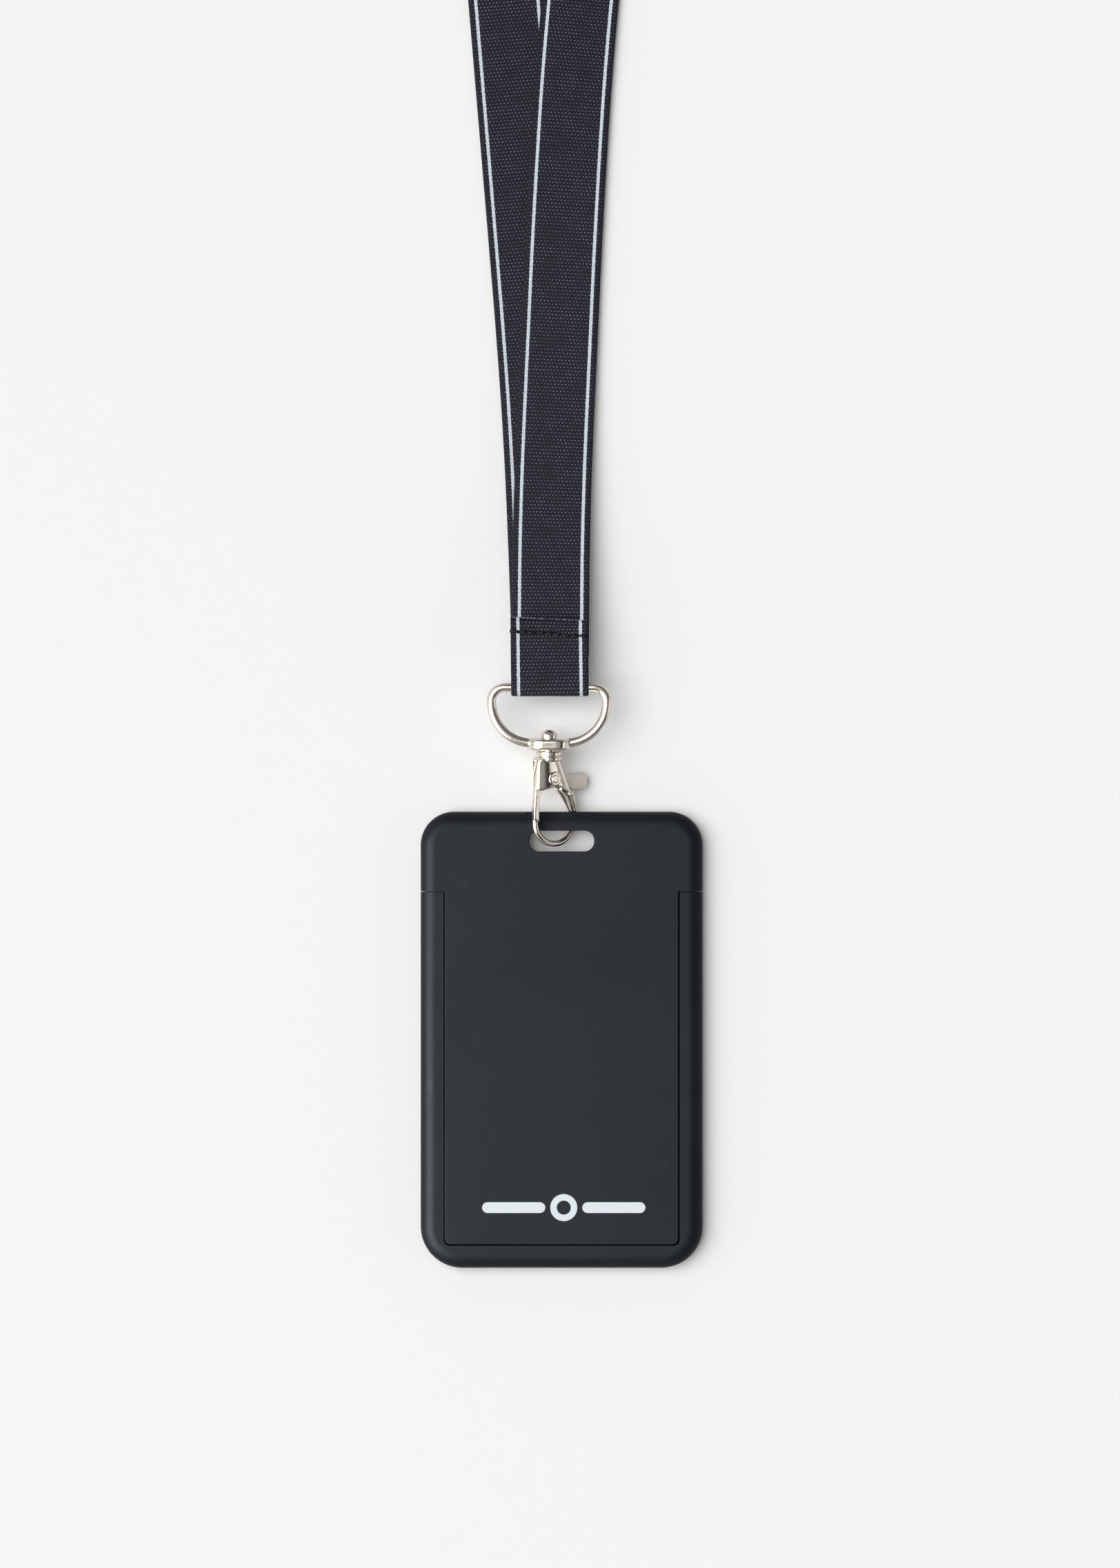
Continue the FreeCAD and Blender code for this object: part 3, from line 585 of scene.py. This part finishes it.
def weave_beads(look, u, row, flat):
    """Raised threads of the webbing: each one's shape, with a painted highlight as a crescent on
    its lit side, the pit beside it that is painted in shade, and how bright the painted highlight
    is.
    """
    number = look.maths("FLOOR", row)
    up = look.minus(look.maths("FRACT", row), 0.5)
    shifted = look.plus(look.over(u, WEAVE_ACROSS), look.over(number, 3.0))
    side = look.minus(look.maths("FRACT", shifted), 0.5)

    def spot(x, y, size_x, size_y, soft):
        """1 inside an oval of the weave's cell, 0 outside it."""
        far = look.reach(look.over(look.minus(side, x), size_x),
                         look.over(look.minus(up, y), size_y))
        return look.span(far, 1.0, soft)

    # painted highlight: the bright crescent of each raised thread, left where a smaller offset oval
    # is cut from the bead; the same shape also raises the thread in the bump
    lit_bead = look.minus(spot(0.0, 0.0, 0.29, 0.27, 0.45), spot(0.07, -0.09, 0.17, 0.16, 0.3),
                      clamp=True)
    # painted shade: the hollow beside each thread, darkened in the colour and also sunk in the bump
    shaded_pit = look.minus(spot(0.09, -0.11, 0.40, 0.38, 0.45), lit_bead, clamp=True)
    # how bright each painted highlight is: at random from thread to thread, and in patches of
    # painted light where the cloth catches more of it
    cell = look.node("ShaderNodeCombineXYZ", {0: look.maths("FLOOR", shifted), 1: number})
    chance = look.node("ShaderNodeTexWhiteNoise", {"Vector": cell.outputs[0]},
                       noise_dimensions="2D").outputs["Value"]
    patch = look.noise(flat, 190.0)
    light = look.times(look.span(chance, 0.0, 1.0, 0.6, 1.0),
                       look.span(patch, 0.32, 0.62, 0.55, 1.0))
    return lit_bead, shaded_pit, light


def pale_stripe(look, wide, row, flat):
    """Stripe of pale threads, nipped at every row, and the dark specks of weft that cross it."""
    up = look.minus(look.maths("FRACT", row), 0.5)
    beside = look.minus(wide, STRIPE_PLACE)
    nip = look.times(look.maths("ABSOLUTE", up), STRIPE_NIP)
    fray = look.times(look.minus(look.noise(flat, 2600.0, 1.0), 0.5), STRIPE_FRAY)
    edge = look.plus(look.plus(look.maths("ABSOLUTE", beside), nip), fray)
    stripe = look.span(edge, STRIPE_HALF + STRIPE_SOFT[0], STRIPE_HALF - STRIPE_SOFT[1])
    parity = look.maths("MODULO", look.maths("ABSOLUTE", look.maths("FLOOR", row)), 2.0)
    shift = look.times(look.minus(parity, 0.5), SPECK_SHIFT)
    far = look.reach(look.over(look.minus(beside, shift), SPECK_HALF),
                     look.over(look.plus(up, 0.1), 0.17))
    speck = look.times(look.span(far, 1.0, 0.4),
                       look.span(look.noise(flat, 900.0, 1.0), 0.35, 0.55))
    return stripe, speck


def webbing_look():
    """Dark ribbed webbing with painted highlights on its raised threads, painted shade in the pits
    beside them, and two pale stripes.
    """
    look = Look("webbing", Specular_IOR_Level=0.10, Sheen_Weight=0.02, Sheen_Roughness=0.5)
    u, v, flat = look.band()
    wide = look.maths("ABSOLUTE", u)
    row = look.over(v, WEAVE_ALONG)
    lit_bead, shaded_pit, light = weave_beads(look, u, row, flat)
    stripe, speck = pale_stripe(look, wide, row, flat)
    inside = look.span(wide, STRIPE_PLACE + BORDER[0], STRIPE_PLACE + BORDER[1], 1.0, 0.45)
    # painted highlight mask of the raised threads, dimmer between each pale stripe and the band's
    # edge
    dot = look.times(look.times(lit_bead, light), inside)
    fibre = look.noise(look.stretch(flat, (1.0, 0.35, 1.0)), 5200.0, 3.0, 0.7)
    ground = look.blend(look.span(fibre, 0.3, 0.72), rgb(8, 7, 13), rgb(35, 32, 48))
    # painted shade in the pits beside the raised threads
    ground = look.blend(look.times(shaded_pit, 0.75), ground, rgb(2, 2, 4))
    # painted highlight on the raised threads, in a pale blue-grey
    ground = look.blend(dot, ground, rgb(126, 131, 153))
    pale = look.blend(look.span(fibre, 0.25, 0.75), rgb(176, 187, 198), rgb(232, 238, 242))
    pale = look.blend(look.times(speck, 0.75), pale, rgb(62, 60, 76))
    look.feed("Base Color", look.blend(stripe, ground, pale))
    look.feed("Roughness", look.span(dot, 0.0, 1.0, 0.72, 0.42))
    height = look.plus(look.times(lit_bead, 0.7), look.times(fibre, 0.35))
    look.bump(look.minus(height, look.times(shaded_pit, 0.5)), 0.00010, 0.7)
    return look.material


def thread_look():
    """Black twisted sewing thread."""
    look = Look("thread", Roughness=0.6, Specular_IOR_Level=0.11)
    strands = look.noise(look.stretch(look.place(), (0.35, 1.0, 1.0), (0, 0, 0.6)), 6000.0)
    look.feed("Base Color", look.blend(look.span(strands, 0.3, 0.7), rgb(2, 2, 3), rgb(11, 11, 14)))
    look.feed("Roughness", look.span(strands, 0.2, 0.8, 0.40, 0.65))
    look.bump(strands, 0.00006, 0.7)
    return look.material


def fringe_look():
    """Cut yarn, some of it dark and some pale."""
    look = Look("fringe", Roughness=0.7, Specular_IOR_Level=0.2)
    place = look.place()
    yarn = look.span(look.noise(place, 900.0), 0.36, 0.56)
    look.feed("Base Color", look.blend(yarn, rgb(52, 48, 60), rgb(158, 168, 182)))
    look.bump(look.noise(place, 9000.0), 0.00003, 0.5)
    return look.material


def nickel_look(name, polish, wear, tone, scratched=0.0, satin=0.0):
    """Nickel plate: a bright warm grey with a faint ripple, dull patches and fine scratches.

    satin is the roughness that is added to the right of X = 0, on the lever's brushed tab.
    """
    look = Look(name, Metallic=1.0)
    place = look.place()
    ripple = look.noise(place, 420.0)
    dull = look.noise(place, 1500.0, 4.0, 0.65)
    one = look.cells(look.stretch(place, (1.0, 0.10, 1.0), (0.2, 0.1, 0.7)), 3200.0)
    two = look.cells(look.stretch(place, (0.10, 1.0, 1.0), (0.1, 0.3, -0.5)), 2700.0)
    lines = look.times(look.span(look.maths("MINIMUM", one, two), 0.22, 0.04), scratched)
    shade = tuple(v * 0.92 for v in tone[:3]) + (1.0,)
    bright = look.blend(look.span(ripple, 0.3, 0.7), tone, shade)
    look.feed("Base Color", look.blend(look.times(lines, 0.35), bright, rgb(150, 140, 130)))
    base = look.span(dull, 0.35, 0.75, polish, polish + wear)
    if satin:
        base = look.plus(base, look.span(look.parts(place)[0], 0.0, 0.0018, 0.0, satin))
    look.feed("Roughness", look.plus(base, look.times(lines, 0.15), clamp=True))
    height = look.plus(look.times(ripple, 0.5), look.times(dull, 0.12))
    look.bump(look.minus(height, look.times(lines, 0.5)), 0.00003, 0.35 + 0.4 * scratched)
    return look.material


def plastic_look():
    """Near-black ABS with a fine spark-eroded grain that only shows in the highlights."""
    look = Look("case_plastic", Specular_IOR_Level=0.125, Specular_Tint=(0.86, 0.93, 1.0, 1.0))
    place = look.place()
    grain = look.noise(place, 5200.0, 3.0, 0.6)
    pores = look.cells(place, 4200.0)
    cloud = look.noise(place, 34.0, 3.0)
    rubs = look.noise(look.stretch(place, (1.0, 0.5, 1.0), (0, 0, 0.5)), 210.0, 5.0, 0.7)
    rubs = look.span(rubs, 0.55, 0.8)
    colour = look.blend(look.span(cloud, 0.3, 0.7), rgb(12, 15, 21), rgb(18, 21, 28))
    colour = look.blend(look.times(rubs, 0.25), colour, rgb(44, 46, 52))
    look.feed("Base Color", look.blend(look.span(grain, 0.60, 0.78), colour, rgb(50, 54, 60)))
    look.feed("Roughness", look.plus(look.span(grain, 0.3, 0.7, 0.46, 0.64),
                                     look.times(rubs, -0.05)))
    look.bump(look.plus(look.times(grain, 0.7), look.times(pores, 0.5)), 0.00004, 0.40)
    return look.material


def clear_look():
    """Clear pane with some haze and long fine scratches."""
    look = Look("clear_plastic", Base_Color=(0.86, 0.88, 0.90, 1), IOR=1.49,
                Transmission_Weight=0.96)
    place = look.place()
    haze = look.noise(place, 60.0, 4.0)
    scratches = look.cells(look.stretch(place, (1.0, 0.04, 1.0), (0, 0, 0.35)), 900.0)
    look.feed("Roughness", look.plus(look.span(haze, 0.35, 0.75, 0.03, 0.12),
                                     look.span(scratches, 0.05, 0.01, 0.0, 0.15)))
    look.bump(haze, 0.00005, 0.3)
    return look.material


def ink_look():
    """Pale screen-printed ink, a little worn."""
    look = Look("print_ink", Specular_IOR_Level=0.4)
    place = look.place()
    screen = look.noise(place, 5200.0)
    wear = look.span(look.noise(place, 700.0, 4.0, 0.7), 0.66, 0.80)
    colour = look.blend(look.span(screen, 0.3, 0.7), rgb(208, 218, 224), rgb(216, 225, 230))
    look.feed("Base Color", look.blend(look.times(wear, 0.5), colour, rgb(120, 124, 130)))
    look.feed("Roughness", look.span(screen, 0.2, 0.8, 0.42, 0.60))
    look.bump(screen, 0.00002, 0.5)
    return look.material


def dress_everything(strap, seam, fringe, hook_cast, lever_cast, mark):
    """Give each piece its one material."""
    nickel = nickel_look("nickel", 0.12, 0.10, rgb(219, 211, 199))
    tumbled = nickel_look("lever_nickel", 0.15, 0.12, rgb(222, 215, 204), scratched=1.0, satin=0.32)
    steel = nickel_look("spring_steel", 0.22, 0.14, rgb(188, 186, 184))
    plastic = plastic_look()
    for piece, material in (
            (hook_cast, nickel), (nodes["hook_body"], nickel), (nodes["swivel_rivet"], nickel),
            (nodes["d_ring"], nickel), (nodes["lever_pin"], nickel),
            (lever_cast, tumbled), (nodes["gate_lever"], tumbled), (nodes["lever_spring"], steel),
            (nodes["badge_slider"], plastic), (nodes["badge_frame"], plastic),
            (nodes["clear_window"], clear_look()), (mark, ink_look()),
            (strap, webbing_look()), (seam, thread_look()), (fringe, fringe_look())):
        piece.data.materials.clear()
        piece.data.materials.append(material)


# ---------------------------------------------------------------- metal castings

CAST_VOXEL = 0.00010
HOOK_SEAT = Vector((-0.00303, 0.03179, 0.00574))
HOOK_TILT = (5.0, 30.0)      # degrees about X, then about the hook's own length

# The hook's face in its own plane, in millimetres: Y along the hook, X across it.
PLATE_LEFT = -4.0
PLATE_RIGHT = [(21.0, 2.2), (16.4, 3.95), (11.6, 5.85)]
PLATE_CROWN = 0.85           # how far the face falls away at its sides
CROWN_POWER = 2.4
CROWN_REACH = 1.1            # share of the half width at which it stops falling away
CROWN_LOW = (11.4, 13.2)     # stretches over which the crown comes in and goes out
CROWN_HIGH = (19.9, 20.6)
CROWN_DEPTH = (1.0, 1.9)
SOFTER_UNTIL = (12.6, 13.9)  # the arms below this are softer than the plate


def plate_right(y):
    """Right edge of the hook's face at y."""
    for (high, start), (low, end) in zip(PLATE_RIGHT, PLATE_RIGHT[1:]):
        if y >= low:
            return start + (end - start) * (high - y) / (high - low)
    return PLATE_RIGHT[-1][1]


def ease(value, low, high):
    """Smooth step from 0 to 1 while the value goes from low to high."""
    share = min(max((value - low) / (high - low), 0.0), 1.0)
    return share * share * (3 - 2 * share)


def settle(piece):
    """Apply the piece's modifiers to its mesh."""
    bpy.context.view_layer.update()
    final = piece.evaluated_get(bpy.context.evaluated_depsgraph_get())
    shaped = bpy.data.meshes.new_from_object(final)
    piece.modifiers.clear()
    piece.data = shaped


def cast_copy(name, source, rounds, softer=None, more=0):
    """Copy of a metal piece with soft, blended edges, and softer ones where softer() is 1."""
    cast = bpy.data.objects.new(name, nodes[source].data.copy())
    bpy.context.scene.collection.objects.link(cast)
    remesh = cast.modifiers.new("cast", "REMESH")
    remesh.mode = "VOXEL"
    remesh.voxel_size = CAST_VOXEL
    soften = cast.modifiers.new("soften", "SMOOTH")
    soften.factor = 0.5
    soften.iterations = rounds
    settle(cast)
    if softer:
        group = cast.vertex_groups.new(name="softer")
        for vertex in cast.data.vertices:
            group.add([vertex.index], softer(vertex.co), "REPLACE")
        again = cast.modifiers.new("again", "SMOOTH")
        again.vertex_group = "softer"
        again.iterations = more
        settle(cast)
        cast.vertex_groups.clear()
    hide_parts(source)
    return cast


def make_hook_cast():
    """The hook as a die casting: soft edges, blended corners and a crowned face."""
    hook = (Matrix.Translation(HOOK_SEAT) @ Matrix.Rotation(math.radians(HOOK_TILT[0]), 4, "X")
            @ Matrix.Rotation(math.radians(HOOK_TILT[1]), 4, "Y"))
    back = hook.inverted()

    def arms(co):
        return 1.0 - ease((back @ co).y / MM, *SOFTER_UNTIL)

    cast = cast_copy("hook_cast", "hook_body", 3, arms, 9)
    for vertex in cast.data.vertices:
        local = back @ vertex.co / MM
        if not CROWN_LOW[0] < local.y < CROWN_HIGH[1] or abs(local.z) < CROWN_DEPTH[0]:
            continue
        right = plate_right(local.y)
        side = (2 * local.x - PLATE_LEFT - right) / (right - PLATE_LEFT)
        share = ease(local.y, *CROWN_LOW) * (1 - ease(local.y, *CROWN_HIGH))
        share *= ease(abs(local.z), *CROWN_DEPTH)
        fall = PLATE_CROWN * min(abs(side), CROWN_REACH) ** CROWN_POWER * share
        local.z -= math.copysign(fall, local.z)
        vertex.co = hook @ (local * MM)
    cast.data.shade_smooth()
    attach(cast, "hook")
    return cast


def make_lever_cast():
    """The gate lever with rounded edges, as it comes out of the tumbling drum."""
    cast = cast_copy("lever_cast", "gate_lever", 6)
    cast.data.shade_smooth()
    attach(cast, "lever")
    return cast


seam = make_seam(strap)
fringe = make_fringe(strap_path[-1])
hook_cast = make_hook_cast()
lever_cast = make_lever_cast()
mark = make_mark()
dress_everything(strap, seam, fringe, hook_cast, lever_cast, mark)


# ---------------------------------------------------------------- stage and light

FLOOR_HALF = 6.0


def add_lamp(name, kind, aim, axis):
    """A lamp whose given axis points along aim."""
    lamp = bpy.data.objects.new(name, bpy.data.lights.new(name, kind))
    lamp.rotation_mode = "QUATERNION"
    lamp.rotation_quaternion = Vector(aim).to_track_quat(axis, "Y")
    bpy.context.scene.collection.objects.link(lamp)
    return lamp


def sky_light(name, away, strength, angle):
    """A broad soft light at infinity, so that the floor is evenly lit."""
    lamp = add_lamp(name, "SUN", away, "Z")
    lamp.data.energy = strength
    lamp.data.angle = math.radians(angle)


def gloss_light(name, place, size, power):
    """A round lamp aimed at the origin, which only shows as reflections."""
    lamp = add_lamp(name, "AREA", -Vector(place), "-Z")
    lamp.location = place
    lamp.data.shape = "DISK"
    lamp.data.size = size
    lamp.data.energy = power
    lamp.visible_diffuse = False


def make_floor():
    """Pale matt surface under the object."""
    corners = [(x * FLOOR_HALF, y * FLOOR_HALF, 0) for x, y in ((-1, -1), (1, -1), (1, 1), (-1, 1))]
    floor = new_object("floor", corners, [(0, 1, 2, 3)], smooth=False)
    look = Look("pale_surface", Specular_IOR_Level=0.15)
    speck = look.noise(look.place(), 900.0, 3.0)
    look.feed("Base Color", look.blend(look.span(speck, 0.2, 0.8), (0.868, 0.868, 0.868, 1),
                                       (0.876, 0.876, 0.876, 1)))
    look.feed("Roughness", look.span(speck, 0.2, 0.8, 0.75, 0.85))
    floor.data.materials.append(look.material)


def make_studio():
    """White surroundings, brighter on the left and with a dark band round the middle heights."""
    world = bpy.data.worlds.new("studio")
    world.use_nodes = True
    sky = Nodes(world.node_tree)
    away = sky.parts(sky.place("Generated"))
    sides = sky.span(away[0], -1.0, 1.0, 0.72, 0.34)
    walls = sky.maths("MAXIMUM", sky.span(away[2], 0.56, 0.42, 0.10, 1.0),
                      sky.span(away[2], 0.72, 0.86, 0.10, 1.0))
    background = world.node_tree.nodes["Background"]
    background.inputs["Color"].default_value = (1, 1, 1, 1)
    sky.tree.links.new(sky.times(sides, walls), background.inputs["Strength"])
    bpy.context.scene.world = world
    sky_light("overhead", away=(-0.54, 0.14, 1.0), strength=2.38, angle=58)
    sky_light("side_card", away=(0.93, -0.20, 0.36), strength=0.16, angle=26)
    gloss_light("gloss", place=(-0.36, -0.15, 0.36), size=0.40, power=12.5)
    bpy.context.scene.view_settings.view_transform = "Standard"


make_floor()
make_studio()
